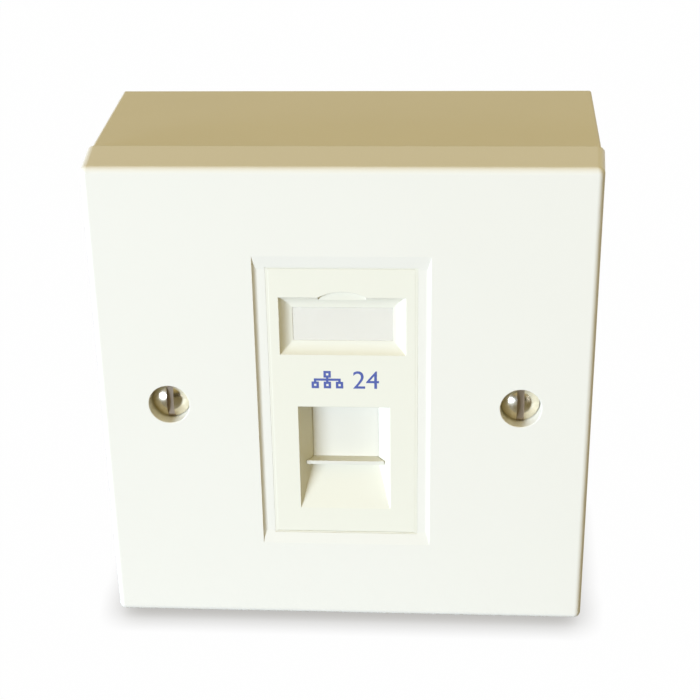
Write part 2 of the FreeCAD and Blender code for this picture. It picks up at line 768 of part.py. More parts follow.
def make_contact(index):
    """Tail through the board, a level run under the roof, a bend and a sloping spring finger."""
    contact = Piece(f"contact_{index}")
    bend_depth = f"({JACK_FRONT} + contact_setback)"
    centre_rise = f"({CONTACT_RUN} - contact_bend)"
    outer = "(contact_bend + contact_wire / 2)"
    inner = "(contact_bend - contact_wire / 2)"
    top = f"{CONTACT_RUN} + contact_wire / 2"
    low = f"{CONTACT_RUN} - contact_wire / 2"
    tail = at(f"{BOARD_REAR} + contact_tail")

    def after_bend(radius, reach):
        along = f"{bend_depth} - {radius} * sin(contact_angle) + {reach} * cos(contact_angle)"
        rise = f"{centre_rise} - {radius} * cos(contact_angle) - {reach} * sin(contact_angle)"
        return at(along), rise

    outline = contact.side(contact_place(index)).outline([
        (tail, top),
        (at(bend_depth), top, outer, 1),
        after_bend(outer, "0"),
        after_bend(outer, "contact_reach"),
        after_bend(inner, "contact_reach"),
        (*after_bend(inner, "0"), inner, -1),
        (at(bend_depth), low),
        (tail, low),
    ])
    contact.pad(outline, "contact_wire", symmetric=True)
    return contact.body


def make_contact_carrier():
    carrier = Piece("contact_carrier")
    roof = f"({PLUG_ROOF} + contact_room - carrier_play)"
    floor = f"({PLUG_ROOF} - contact_wire / 2)"
    half = "(contact_row / 2 - carrier_play)"
    rear = f"({JACK_REAR} - carrier_play)"
    carrier.pad(carrier.front(behind(rear)).rectangle(f"-{half}", half, floor, roof), "carrier_length")
    slots = carrier.front(behind(f"{rear} - carrier_length"))
    slot_half = "(contact_wire / 2 + carrier_play)"
    for index in range(1, 9):
        place = contact_place(index)
        slots.rectangle(
            f"{place} - {slot_half}", f"{place} + {slot_half}",
            f"{floor} - contact_wire", f"{CONTACT_RUN} + {slot_half}",
        )
    carrier.through(slots)
    return carrier.body


def terminal_rise(index):
    return f"({PLUG_MIDDLE} + terminal_pitch * {index - 1.5})"


def make_circuit_board():
    board = Piece("circuit_board")
    sheet_outline = board.front(behind(BOARD_REAR)).centred("board_width", "board_height", y=PLUG_MIDDLE)
    board.pad(sheet_outline, "board_thickness")
    holes = board.front(behind(JACK_REAR))
    hole = "contact_wire + 2 * contact_hole_play"
    for index in range(1, 9):
        holes.centred(hole, hole, x=contact_place(index), y=CONTACT_RUN)
    for sign in ("", "-"):
        holes.circle(f"{sign}board_peg_span / 2", JACK_FOOT + " + board_peg", "board_peg + 2 * board_peg_play")
        for row in range(4):
            holes.centred(
                "blade_thickness + 2 * blade_play", "blade_pin + 2 * blade_play",
                x=f"{sign}terminal_span / 2", y=terminal_rise(row),
            )
    board.through(holes)
    return board.body


def make_idc_block(label, sign):
    """A terminal block with four wire slots, each flared at its mouth, and a slit for each blade."""
    block = Piece(label)
    axis = f"{sign}terminal_span / 2"
    outline = block.front(behind(BLOCK_REAR)).centred("block_width", "block_height", x=axis, y=PLUG_MIDDLE)
    block.pad(outline, "block_depth")
    for row in range(4):
        rise = terminal_rise(row)
        half = "wire_slot / 2"
        wide = "(wire_slot / 2 + wire_slot_flare)"
        slot = block.side(f"{axis} - block_width").outline([
            (at(BLOCK_REAR), f"{rise} - {wide}"),
            (at(BLOCK_REAR), f"{rise} + {wide}"),
            (at(f"{BLOCK_REAR} - wire_slot_flare"), f"{rise} + {half}"),
            (at(f"{BLOCK_REAR} - wire_slot_depth"), f"{rise} + {half}"),
            (at(f"{BLOCK_REAR} - wire_slot_depth"), f"{rise} - {half}"),
            (at(f"{BLOCK_REAR} - wire_slot_flare"), f"{rise} - {half}"),
        ])
        block.pocket(slot, "2 * block_width", reverse=True)
    slits = block.front(behind(f"{BOARD_REAR} + block_base - blade_play"))
    pins = block.front(behind(BOARD_REAR))
    for row in range(4):
        place = {"x": axis, "y": terminal_rise(row)}
        slits.centred("blade_thickness + 2 * blade_play", "blade_width + 2 * blade_play", **place)
        pins.centred("blade_thickness + 2 * blade_play", "blade_pin + 2 * blade_play", **place)
    block.pocket(slits, "block_depth")
    block.pocket(pins, "block_depth")
    return block.body


def make_idc_blade(index):
    """A forked blade that bites a wire, with a pin through the board."""
    blade = Piece(f"idc_blade_{index}")
    sign = "-" if index <= 4 else ""
    rise = terminal_rise((index - 1) % 4)
    root = at(f"{BOARD_REAR} + block_base")
    mouth = at(f"{BLOCK_REAR} - blade_drop")
    wide = "blade_width / 2"
    slit = "blade_slit / 2"
    pin = "blade_pin / 2"
    tail = at(f"{JACK_REAR} - contact_tail")
    outline = blade.side(f"{sign}terminal_span / 2").outline([
        (tail, f"{rise} - {pin}"),
        (root, f"{rise} - {pin}"),
        (root, f"{rise} - {wide}"),
        (mouth, f"{rise} - {wide}"),
        (f"{mouth} - blade_slit", f"{rise} - {slit}"),
        (f"{mouth} - blade_slit_depth", f"{rise} - {slit}"),
        (f"{mouth} - blade_slit_depth", f"{rise} + {slit}"),
        (f"{mouth} - blade_slit", f"{rise} + {slit}"),
        (mouth, f"{rise} + {wide}"),
        (root, f"{rise} + {wide}"),
        (root, f"{rise} + {pin}"),
        (tail, f"{rise} + {pin}"),
    ])
    blade.pad(outline, "blade_thickness", symmetric=True)
    return blade.body


def make_idc_cap(label, sign):
    """A cap pushed over the terminal block, notched where the wires leave."""
    cap = Piece(label)
    axis = f"{sign}terminal_span / 2"
    inner = ("block_width + 2 * cap_play", "block_height + 2 * cap_play")
    outer = tuple(f"{size} + 2 * cap_wall" for size in inner)
    roof = f"({BLOCK_REAR} + cap_play)"
    cap.pad(
        cap.front(behind(f"{roof} + cap_wall")).centred(*outer, x=axis, y=PLUG_MIDDLE), "cap_wall + cap_skirt"
    )
    cap.pocket(cap.front(behind(f"{roof} - cap_skirt")).centred(*inner, x=axis, y=PLUG_MIDDLE), "cap_skirt")
    notches = cap.side(f"{axis} - block_width")
    for row in range(4):
        rise = terminal_rise(row)
        notches.rectangle(
            at(f"{roof} - cap_skirt"), at(f"{roof} - cap_notch"),
            f"{rise} - cap_notch / 2", f"{rise} + cap_notch / 2",
        )
    cap.pocket(notches, "2 * block_width", reverse=True)
    return cap.body


nodes = [make_back_box(), make_box_inserts(), make_faceplate(), make_faceplate_screws(), make_module_bezel()]
nodes += make_label()
nodes += [make_shutter(), make_shutter_spring(), make_jack_housing(), make_contact_carrier()]
nodes += [make_contact(index) for index in range(1, 9)]
nodes += [make_circuit_board()]
nodes += [make_idc_block("idc_block_left", "-"), make_idc_block("idc_block_right", "")]
nodes += [make_idc_blade(index) for index in range(1, 9)]
nodes += [make_idc_cap("idc_cap_left", "-"), make_idc_cap("idc_cap_right", "")]
doc.recompute()

failed = [item.Label for item in doc.Objects if {"Invalid", "Error"} & set(item.State)]
if failed:
    raise RuntimeError(f"these objects failed: {failed}")
os.makedirs("parts", exist_ok=True)
for node in nodes:
    if node.Shape.isNull() or not node.Shape.isValid():
        raise RuntimeError(f"{node.Label} has no valid shape")
    print(f"{node.Label}: {len(node.Shape.Solids)} solid, {node.Shape.Volume:.1f} mm3")
    node.Shape.exportStep(f"parts/{node.Label}.step")
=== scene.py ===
# %% [markdown]
# # A network socket on its wall box
#
# The socket has a square faceplate on a surface box, two screws, and a snap-in module with a label
# window and a shuttered port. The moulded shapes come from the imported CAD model, in metres, with the
# wall at y = 0 and the front facing -Y. This lesson adds the camera, the light, the finishes and the
# few pieces that are easier to make in Blender than in CAD.

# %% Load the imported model
import json
import math

import bpy
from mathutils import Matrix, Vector


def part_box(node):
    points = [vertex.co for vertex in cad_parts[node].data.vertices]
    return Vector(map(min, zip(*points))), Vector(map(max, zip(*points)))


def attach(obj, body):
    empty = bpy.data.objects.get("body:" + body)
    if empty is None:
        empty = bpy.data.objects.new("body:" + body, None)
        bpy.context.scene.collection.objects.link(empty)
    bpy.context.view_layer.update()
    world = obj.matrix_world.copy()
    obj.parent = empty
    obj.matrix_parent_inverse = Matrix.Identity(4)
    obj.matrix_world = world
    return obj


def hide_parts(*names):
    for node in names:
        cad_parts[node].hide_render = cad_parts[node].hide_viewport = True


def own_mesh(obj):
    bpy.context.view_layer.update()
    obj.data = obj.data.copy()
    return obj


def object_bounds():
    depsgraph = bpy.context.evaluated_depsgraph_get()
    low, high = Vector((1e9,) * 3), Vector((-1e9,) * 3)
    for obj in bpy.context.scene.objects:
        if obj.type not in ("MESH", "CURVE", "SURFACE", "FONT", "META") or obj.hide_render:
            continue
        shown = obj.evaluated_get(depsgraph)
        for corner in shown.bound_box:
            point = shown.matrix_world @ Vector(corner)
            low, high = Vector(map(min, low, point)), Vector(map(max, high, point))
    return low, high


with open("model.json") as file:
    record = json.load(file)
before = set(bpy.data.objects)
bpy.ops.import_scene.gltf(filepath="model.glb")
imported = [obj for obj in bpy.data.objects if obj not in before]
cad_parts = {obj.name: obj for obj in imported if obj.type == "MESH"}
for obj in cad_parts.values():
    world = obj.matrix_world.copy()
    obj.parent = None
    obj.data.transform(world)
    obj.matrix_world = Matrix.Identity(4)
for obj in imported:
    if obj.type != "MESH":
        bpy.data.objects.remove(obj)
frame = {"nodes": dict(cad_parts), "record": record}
nodes = frame["nodes"]
cad_low, cad_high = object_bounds()
bpy.ops.object.select_all(action="DESELECT")
MM = 0.001
scene = bpy.context.scene
scene.view_settings.view_transform = "Standard"
print(f"{len(nodes)} CAD nodes, {(cad_high - cad_low) / MM} mm over all")

# %% [markdown]
# ## The camera
#
# The photograph looks down on the socket from a little right of its middle. The camera's place was
# solved from the plate's corners, the screw centres and the module's outline, whose sizes are known,
# so it can be written down as a point, three angles and a lens. Turning an empty view until it looks
# right would be quicker, but every later comparison with the photograph would then be a guess.

# %% Camera
CAMERA_PLACE = (15.92 * MM, -263.48 * MM, 105.75 * MM)
CAMERA_ANGLES = (66.507, 0.887, 3.457)
CAMERA_LENS = 73.08
CAMERA_SENSOR = 36.0
CAMERA_NEAR = 10.0 * MM
bpy.ops.object.camera_add(location=CAMERA_PLACE, rotation=[math.radians(a) for a in CAMERA_ANGLES])
camera = bpy.context.object
camera.name = "photo_camera"
camera.data.lens = CAMERA_LENS
camera.data.sensor_width = CAMERA_SENSOR
camera.data.clip_start = CAMERA_NEAR
scene.camera = camera
print("camera", [round(c / MM, 1) for c in camera.location], "mm, lens", camera.data.lens)

# %% [markdown]
# ## Node helpers
#
# Every finish below is a small tree of shader nodes. A few helpers keep those trees readable. The
# first two add a node with its options and fill in its sockets by name. The other three make the
# kinds of node that are used most, feed them and hand on their result: a colour ramp, a change of
# range and a calculation. The trees could be clicked together in the Shader editor as well, but
# written down they are easier to compare and to use again.


# %% Node helpers
def add_node(tree, kind, **options):
    node = tree.nodes.new(kind)
    for option, value in options.items():
        setattr(node, option, value)
    return node


def fill(node, values):
    for socket, value in values.items():
        node.inputs[socket].default_value = value


def colour_ramp(tree, value, first, last, start=0.0, end=1.0):
    """A blend from the first colour to the last while the value goes from start to end."""
    ramp = add_node(tree, "ShaderNodeValToRGB")
    for stop, colour, position in zip(ramp.color_ramp.elements, (first, last), (start, end)):
        stop.color = (*colour, 1.0)
        stop.position = position
    tree.links.new(value, ramp.inputs[0])
    return ramp.outputs["Color"]


def change_range(tree, value, old, new=(0.0, 1.0)):
    """The value carried from its old range to a new one and held at the ends."""
    scaled = add_node(tree, "ShaderNodeMapRange")
    fill(scaled, {"From Min": old[0], "From Max": old[1], "To Min": new[0], "To Max": new[1]})
    tree.links.new(value, scaled.inputs["Value"])
    return scaled.outputs[0]


def calculate(tree, operation, *values):
    """A Math node whose inputs are results of other nodes or plain numbers."""
    node = add_node(tree, "ShaderNodeMath", operation=operation)
    for socket, value in zip(node.inputs, values):
        if isinstance(value, bpy.types.NodeSocket):
            tree.links.new(value, socket)
        else:
            socket.default_value = value
    return node.outputs[0]


print("helpers ready")

# %% [markdown]
# ## The room
#
# The photograph has a white background, a bright even light on the front and a dimmer, warm light
# from above that turns the top of the box tan. A world shader can hold both: its light runs from dim
# at the horizon to warm overhead, while the rays that make up the picture find plain white. Metal
# and gloss should mirror that white too, so their rays join in on the side behind the socket. The
# side in front stays the dim half of a studio, which gives the screw heads their dark middles.
# Painting the top of the box tan would look right from here and wrong from everywhere else.

# %% World
WARM_SKY = (0.727, 0.586, 0.26)
DIM_HORIZON = (0.053, 0.039, 0.014)
HORIZON_TOP = 0.2
SKY_START = 0.7
WHITE = (1.0, 1.0, 1.0)
MIRROR_BLEND = 0.1


def picture_rays(tree, place):
    """1 for camera rays and, behind the socket, for the rays that metal and glass send on.

    The place is a direction for the world and a point for the floor.
    """
    path = add_node(tree, "ShaderNodeLightPath").outputs
    axes = add_node(tree, "ShaderNodeSeparateXYZ")
    tree.links.new(place, axes.inputs[0])
    behind = change_range(tree, axes.outputs["Y"], (-MIRROR_BLEND, MIRROR_BLEND))
    sent_on = calculate(tree, "MAXIMUM", path["Is Glossy Ray"], path["Is Transmission Ray"])
    mirrored = calculate(tree, "MULTIPLY", sent_on, behind)
    return calculate(tree, "MAXIMUM", path["Is Camera Ray"], mirrored)


world = bpy.data.worlds.new("studio")
scene.world = world
world.use_nodes = True
tree = world.node_tree
background = tree.nodes["Background"]
direction = add_node(tree, "ShaderNodeTexCoord").outputs["Generated"]
axes = add_node(tree, "ShaderNodeSeparateXYZ")
shown = add_node(tree, "ShaderNodeBackground")
fill(shown, {"Color": (*WHITE, 1.0)})
choice = add_node(tree, "ShaderNodeMixShader")
tree.links.new(direction, axes.inputs[0])
sky = colour_ramp(tree, axes.outputs["Z"], DIM_HORIZON, WARM_SKY, HORIZON_TOP, SKY_START)
tree.links.new(sky, background.inputs["Color"])
tree.links.new(picture_rays(tree, direction), choice.inputs[0])
tree.links.new(background.outputs[0], choice.inputs[1])
tree.links.new(shown.outputs[0], choice.inputs[2])
tree.links.new(choice.outputs[0], tree.nodes["World Output"].inputs["Surface"])
print("world", world.name)

# %% [markdown]
# ## The floor
#
# A plain pale sheet under the socket. It takes light as grey paper would, and for the rays that make
# up the picture it is lifted to the white of the background, which would wash its shadow out. An
# Ambient Occlusion node puts back the part that matters as painted shadow in that white: the soft
# line where the plate comes near the floor.

# %% Floor
FLOOR_SIZE = 3.0
FLOOR_TONE = (0.3, 0.3, 0.29, 1.0)
FLOOR_LIFT = 0.995
SHADOW_REACH = 5.0 * MM
PAINTED_SHADOW_TONE = (0.45, 0.44, 0.42)


def new_finish(name):
    """A node material with its Principled shader."""
    finish = bpy.data.materials.new(name)
    finish.use_nodes = True
    return finish, finish.node_tree, finish.node_tree.nodes["Principled BSDF"]


def own_place(tree):
    """A point's place on its own piece, so that a pattern moves with the piece."""
    return add_node(tree, "ShaderNodeTexCoord").outputs["Object"]


bpy.ops.mesh.primitive_plane_add(size=FLOOR_SIZE, location=(0, 0, cad_low.z))
floor = bpy.context.object
floor.name = "floor"
paper, tree, shader = new_finish("floor_paper")
fill(shader, {"Base Color": FLOOR_TONE, "Roughness": 0.9, "Specular IOR Level": 0.1})
# Painted shadow: the floor's white glow is darkened where the Ambient Occlusion node finds the plate near.
contact_shade = add_node(tree, "ShaderNodeAmbientOcclusion", samples=16)
fill(contact_shade, {"Distance": SHADOW_REACH})
glow = add_node(tree, "ShaderNodeEmission")
choice = add_node(tree, "ShaderNodeMixShader")
painted_shadow = colour_ramp(tree, contact_shade.outputs["AO"], PAINTED_SHADOW_TONE, WHITE)
lift = calculate(tree, "MULTIPLY", picture_rays(tree, own_place(tree)), FLOOR_LIFT)
tree.links.new(painted_shadow, glow.inputs["Color"])
tree.links.new(lift, choice.inputs[0])
tree.links.new(shader.outputs[0], choice.inputs[1])
tree.links.new(glow.outputs[0], choice.inputs[2])
tree.links.new(choice.outputs[0], tree.nodes["Material Output"].inputs["Surface"])
floor.data.materials.append(paper)
print("floor at z =", round(cad_low.z / MM, 2), "mm")

# %% [markdown]
# ## The lamps
#
# The key lamp stands in front and to the left, low enough to leave the top of the box to the warm
# room. Its side shows in the port: the left wall is in shade and the right wall is bright. A weak
# warm fill on the camera's side keeps those shades from going black, as the far side of a room would.
# It is hidden from glossy rays, or it would show as an orange patch on each screw. A narrow strip on
# the right puts the white glint on each screw head, and a weak lamp behind keeps the back of the box
# readable when the camera goes round. Places and sizes are in metres.

# %% Lamps
FRONT_MIDDLE = (0, cad_low.y, 0)
WALL_MIDDLE = (0, 0, 0)


def area_lamp(name, place, width, height, watts, colour, target=FRONT_MIDDLE, mirrored=True):
    """A rectangular lamp that faces its target; one that isn't mirrored is hidden from glossy rays."""
    bpy.ops.object.light_add(type="AREA", location=place)
    lamp = bpy.context.object
    lamp.name = name
    lamp.data.shape = "RECTANGLE"
    lamp.data.size = width
    lamp.data.size_y = height
    lamp.data.energy = watts
    lamp.data.color = colour
    lamp.visible_glossy = mirrored
    towards = Vector(target) - Vector(place)
    lamp.rotation_euler = towards.to_track_quat("-Z", "Y").to_euler()
    return lamp


lamps = [
    area_lamp(
        "key_lamp",
        place=(-2.18, -2.15, 0.0),
        width=1.60,
        height=0.07,
        watts=156.5,
        colour=(0.682, 0.787, 1.0),
    ),
    area_lamp(
        "warm_fill",
        place=(0.70, -2.25, 0.40),
        width=0.90,
        height=0.50,
        watts=5.2,
        colour=(1.0, 0.83, 0.41),
        mirrored=False,
    ),
    area_lamp(
        "glint_strip",
        place=(0.45, -0.62, 0.10),
        width=0.05,
        height=0.25,
        watts=0.10,
        colour=WHITE,
    ),
    area_lamp(
        "back_lamp",
        place=(-0.05, 1.03, 0.0),
        width=0.40,
        height=0.08,
        watts=6.0,
        colour=(1.0, 0.98, 0.93),
        target=WALL_MIDDLE,
    ),
]
print("lamps:", [lamp.name for lamp in lamps])

# %% [markdown]
# ## Moulded plastic
#
# Most of the socket is white moulded plastic. Its colour is almost even, its gloss is not: a polished
# mould leaves a faint ripple and a sparked one leaves a fine grain. One function makes all of them.
# Slow noise tints the colour, fine noise varies the roughness, and a bump gives the skin. A Bevel
# node rounds the shading of each hard edge by a fraction of a millimetre, as a mould does, which
# saves filleting every edge of the CAD model.

# %% Plastic finish
NOISE_CORE = (0.3, 0.7)


def noise(tree, place, scale, detail, roughness=0.5):
    """Cloudy noise, most of it within NOISE_CORE."""
    pattern = add_node(tree, "ShaderNodeTexNoise")
    fill(pattern, {"Scale": scale, "Detail": detail, "Roughness": roughness})
    tree.links.new(place, pattern.inputs["Vector"])
    return pattern.outputs[0]


def add_bump(tree, shader, height, strength, distance):
    """Fine relief on a finish; returns the node, so that a softened normal can be led into it."""
    bump = add_node(tree, "ShaderNodeBump")
    fill(bump, {"Strength": strength, "Distance": distance})
    tree.links.new(height, bump.inputs["Height"])
    tree.links.new(bump.outputs[0], shader.inputs["Normal"])
    return bump


def moulded_plastic(name, colour, shade, roughness, grain, depth, edge=0.15 * MM, shine=0.5):
    """Plastic with two near colours, a span of roughness, a grain's width and depth and an edge radius."""
    finish, tree, shader = new_finish(name)
    place = own_place(tree)
    clouds = noise(tree, place, scale=45.0, detail=3.0, roughness=0.6)
    skin = noise(tree, place, scale=1.0 / grain, detail=4.0, roughness=0.6)
    tint = colour_ramp(tree, clouds, shade, colour, start=0.3, end=0.6)
    gloss = change_range(tree, skin, NOISE_CORE, roughness)
    soft_edge = add_node(tree, "ShaderNodeBevel", samples=6)
    fill(soft_edge, {"Radius": edge})
    bump = add_bump(tree, shader, skin, strength=0.35, distance=depth)
    fill(shader, {"Specular IOR Level": shine})
    tree.links.new(soft_edge.outputs[0], bump.inputs["Normal"])
    tree.links.new(tint, shader.inputs["Base Color"])
    tree.links.new(gloss, shader.inputs["Roughness"])
    return finish


PLASTICS = {
    "box_plastic": moulded_plastic(
        "box_satin_white",
        colour=(0.772, 0.752, 0.672),
        shade=(0.758, 0.738, 0.655),
        roughness=(0.46, 0.58),
        grain=0.22 * MM,
        depth=0.012 * MM,
        shine=0.38,
    ),
    "plate_plastic": moulded_plastic(
        "plate_polished_white",
        colour=(0.789, 0.769, 0.669),
        shade=(0.785, 0.765, 0.665),
        roughness=(0.29, 0.31),
        grain=3.0 * MM,
        depth=0.003 * MM,
        edge=0.08 * MM,
        shine=0.22,
    ),
    "module_plastic": moulded_plastic(
        "module_cream_white",
        colour=(0.789, 0.770, 0.637),
        shade=(0.785, 0.766, 0.632),
        roughness=(0.30, 0.32),
        grain=2.5 * MM,
        depth=0.003 * MM,
        edge=0.16 * MM,
        shine=0.35,
    ),
    "shutter_plastic": moulded_plastic(
        "shutter_white",
        colour=(0.739, 0.721, 0.614),
        shade=(0.734, 0.716, 0.608),
        roughness=(0.32, 0.34),
        grain=2.0 * MM,
        depth=0.003 * MM,
        edge=0.08 * MM,
        shine=0.35,
    ),
    "jack_plastic": moulded_plastic(
        "jack_black",
        colour=(0.022, 0.022, 0.024),
        shade=(0.016, 0.016, 0.018),
        roughness=(0.38, 0.52),
        grain=0.15 * MM,
        depth=0.012 * MM,
        edge=0.10 * MM,
    ),
    "terminal_plastic": moulded_plastic(
        "terminal_white",
        colour=(0.80, 0.80, 0.75),
        shade=(0.78, 0.78, 0.72),
        roughness=(0.40, 0.52),
        grain=0.2 * MM,
        depth=0.012 * MM,
        edge=0.10 * MM,
    ),
    "cap_plastic": moulded_plastic(
        "cap_grey_white",
        colour=(0.74, 0.75, 0.72),
        shade=(0.71, 0.72, 0.69),
        roughness=(0.40, 0.52),
        grain=0.2 * MM,
        depth=0.012 * MM,
        edge=0.10 * MM,
    ),
}
print("plastics:", list(PLASTICS))

# %% [markdown]
# ## Plated screw heads
#
# The screw heads were turned, so their plating shows fine rings round each screw's axis. Both screws
# are one node, at equal distances left and right of the middle. Taking the absolute value of x folds
# one onto the other, and a single ring pattern then fits both. The same folded x finds the driver
# slots: a Compare node gives 1 near the middle, where the plating is duller and its colour darker,
# partly as wear and partly as painted shade in the slots. Two materials would do it too, but then the
# slots' faces would have to be found in the mesh.


# %% Screw finish
def plated_metal(name, colour, shade, roughness):
    """Metal with a blotched colour and uneven polish; returns the tree too, for more detail."""
    finish, tree, shader = new_finish(name)
    stain = noise(tree, own_place(tree), scale=700.0, detail=4.0, roughness=0.65)
    tint = colour_ramp(tree, stain, shade, colour, start=0.35, end=0.65)
    polish = change_range(tree, stain, NOISE_CORE, roughness)
    fill(shader, {"Metallic": 1.0})
    tree.links.new(tint, shader.inputs["Base Color"])
    tree.links.new(polish, shader.inputs["Roughness"])
    return finish, tree, shader


SCREW_AXIS = 30.15 * MM
SLOT_HALF = 0.61 * MM
# Slot colour: partly wear, partly painted shade in the driver slots.
SLOT_SHADE_AND_WEAR_TONE = (0.50, 0.42, 0.33, 1.0)
SLOT_ROUGHNESS = 0.42
screw_nickel, tree, shader = plated_metal(
    "screw_nickel", colour=(0.90, 0.84, 0.68), shade=(0.78, 0.72, 0.56), roughness=(0.16, 0.26)
)
plating = shader.inputs["Base Color"].links[0].from_socket
plating_polish = shader.inputs["Roughness"].links[0].from_socket
axes = add_node(tree, "ShaderNodeSeparateXYZ")
tree.links.new(own_place(tree), axes.inputs[0])
folded = calculate(tree, "ABSOLUTE", axes.outputs["X"])
across = calculate(tree, "SUBTRACT", folded, SCREW_AXIS)
head_place = add_node(tree, "ShaderNodeCombineXYZ")
tree.links.new(across, head_place.inputs["X"])
tree.links.new(axes.outputs["Y"], head_place.inputs["Y"])
tree.links.new(axes.outputs["Z"], head_place.inputs["Z"])
rings = add_node(tree, "ShaderNodeTexWave", wave_type="RINGS", rings_direction="Y")
fill(rings, {"Scale": 1100.0, "Distortion": 0.6, "Detail": 2.0})
tree.links.new(head_place.outputs[0], rings.inputs["Vector"])
add_bump(tree, shader, rings.outputs["Fac"], strength=0.08, distance=0.004 * MM)
# The slot band takes the darker slot colour, which is partly wear and partly painted shade.
in_slot = calculate(tree, "COMPARE", across, 0.0, SLOT_HALF)
slot_shade_and_wear = add_node(tree, "ShaderNodeMixRGB")
fill(slot_shade_and_wear, {"Color2": SLOT_SHADE_AND_WEAR_TONE})
tree.links.new(in_slot, slot_shade_and_wear.inputs["Fac"])
tree.links.new(plating, slot_shade_and_wear.inputs["Color1"])
tree.links.new(slot_shade_and_wear.outputs["Color"], shader.inputs["Base Color"])
worn_polish = calculate(tree, "MULTIPLY", in_slot, SLOT_ROUGHNESS)
polish = calculate(tree, "MAXIMUM", plating_polish, worn_polish)
tree.links.new(polish, shader.inputs["Roughness"])
print("screw finish with", len(tree.nodes), "nodes")

# %% [markdown]
# ## Drawn metal
#
# Drawn wire has fine scratches along its length. Noise stretched along one axis gives them, which is
# quicker than a picture of scratches and has no seam. The blades and inserts get the same finish.
# Contacts, blades and inserts run into the wall, along Y, and the spring stands upright, along Z.

# %% Drawn metals
ALONG_Y = (1, 0.05, 1)
ALONG_Z = (1, 1, 0.1)


def drawn_metal(name, colour, shade, roughness, stretch):
    """Plated metal with fine scratches along one axis."""
    finish, tree, shader = plated_metal(name, colour, shade, roughness)
    along = add_node(tree, "ShaderNodeMapping")
    fill(along, {"Scale": stretch})
    tree.links.new(own_place(tree), along.inputs["Vector"])
    scratches = noise(tree, along.outputs[0], scale=9000.0, detail=2.0)
    add_bump(tree, shader, scratches, strength=0.2, distance=0.003 * MM)
    return finish


METALS = {
    "screw_nickel": screw_nickel,
    "insert_brass": drawn_metal(
        "insert_brass",
        colour=(0.72, 0.50, 0.18),
        shade=(0.60, 0.40, 0.13),
        roughness=(0.22, 0.36),
        stretch=ALONG_Y,
    ),
    "contact_gold": drawn_metal(
        "contact_gold",
        colour=(0.88, 0.62, 0.20),
        shade=(0.78, 0.52, 0.15),
        roughness=(0.14, 0.24),
        stretch=ALONG_Y,
    ),
    "blade_tin": drawn_metal(
        "blade_tin",
        colour=(0.66, 0.65, 0.62),
        shade=(0.55, 0.54, 0.51),
        roughness=(0.26, 0.40),
        stretch=ALONG_Y,
    ),
    "spring_steel": drawn_metal(
        "spring_steel",
        colour=(0.56, 0.57, 0.58),
        shade=(0.45, 0.46, 0.47),
        roughness=(0.20, 0.32),
        stretch=ALONG_Z,
    ),
}
print("metals:", list(METALS))

# %% [markdown]
# ## The circuit board
#
# The board is lacquered green with rows of copper tracks under the lacquer. A Brick texture draws
# them: its long bricks are the gaps between the tracks, and its mortar is the tracks. The texture
# lies in the XY plane, so a Mapping node turns it to face the front.

# %% Board finish
FACING_FRONT = (math.radians(90), 0, 0)
board_green, tree, shader = new_finish("board_green")
turn = add_node(tree, "ShaderNodeMapping")
fill(turn, {"Rotation": FACING_FRONT})
tracks = add_node(tree, "ShaderNodeTexBrick")
fill(tracks, {"Color1": (0.012, 0.10, 0.04, 1.0), "Color2": (0.014, 0.12, 0.045, 1.0)})
fill(tracks, {"Mortar": (0.035, 0.17, 0.06, 1.0), "Mortar Size": 0.012, "Mortar Smooth": 0.2})
fill(tracks, {"Scale": 90.0})
fill(shader, {"Roughness": 0.3})
tree.links.new(own_place(tree), turn.inputs["Vector"])
tree.links.new(turn.outputs[0], tracks.inputs["Vector"])
tree.links.new(tracks.outputs["Color"], shader.inputs["Base Color"])
add_bump(tree, shader, tracks.outputs["Fac"], strength=0.4, distance=0.03 * MM)
print("finish", board_green.name)

# %% [markdown]
# ## The label's card and window
#
# The card is plain paper with a fibre bump. The window over it is a thin clear film. Glass that bends
# light would leave the card to be lit by lucky rays only, and a film this thin bends nothing that
# could be seen, so a low Alpha does the work.

# %% Card and window finishes
CARD_SHADE = (0.776, 0.752, 0.65)
CARD_TONE = (0.795, 0.771, 0.669)
card_paper, tree, shader = new_finish("card_paper")
fibres = noise(tree, own_place(tree), scale=3500.0, detail=6.0, roughness=0.7)
fill(shader, {"Roughness": 0.85, "Specular IOR Level": 0.2})
tree.links.new(colour_ramp(tree, fibres, CARD_SHADE, CARD_TONE), shader.inputs["Base Color"])
add_bump(tree, shader, fibres, strength=0.3, distance=0.01 * MM)

FILM_TONE = (0.82, 0.80, 0.74, 1.0)
FILM_GLOSS = (0.02, 0.08)
window_clear, tree, shader = new_finish("window_clear")
haze = noise(tree, own_place(tree), scale=400.0, detail=3.0)
fill(shader, {"Base Color": FILM_TONE, "IOR": 1.49, "Alpha": 0.12})
tree.links.new(change_range(tree, haze, (0.0, 1.0), FILM_GLOSS), shader.inputs["Roughness"])
print("finishes", card_paper.name, "and", window_clear.name)

# %% [markdown]
# ## Dressing the CAD nodes
#
# Each CAD node names a slot of the record, such as plate_plastic or contact_gold. One table from slot
# to finish is enough to dress them all, and a node that is added later can't be forgotten without an
# error here.

# %% Put the finishes on the nodes
FINISHES = {
    **PLASTICS,
    **METALS,
    "board_green": board_green,
    "card_paper": card_paper,
    "window_clear": window_clear,
}
for subpart in frame["record"]["subparts"]:
    node = nodes[subpart["node"]]
    node.data.materials.clear()
    node.data.materials.append(FINISHES[subpart["material_slot"]])

# %% [markdown]
# ## The printed sign
#
# Between the label and the port the module carries a small blue print. Here it is a plain network
# sign, four linked boxes, and a port number. Ink could be painted by a texture, but real pad print
# stands a few hundredths of a millimetre proud with sharp edges, and a thin mesh gives exactly that.
# The boxes of the sign start as planes, an inset turns each into a frame, and further planes are the
# lines between them. The lines end where they meet, because ink laid twice in one place would flicker.

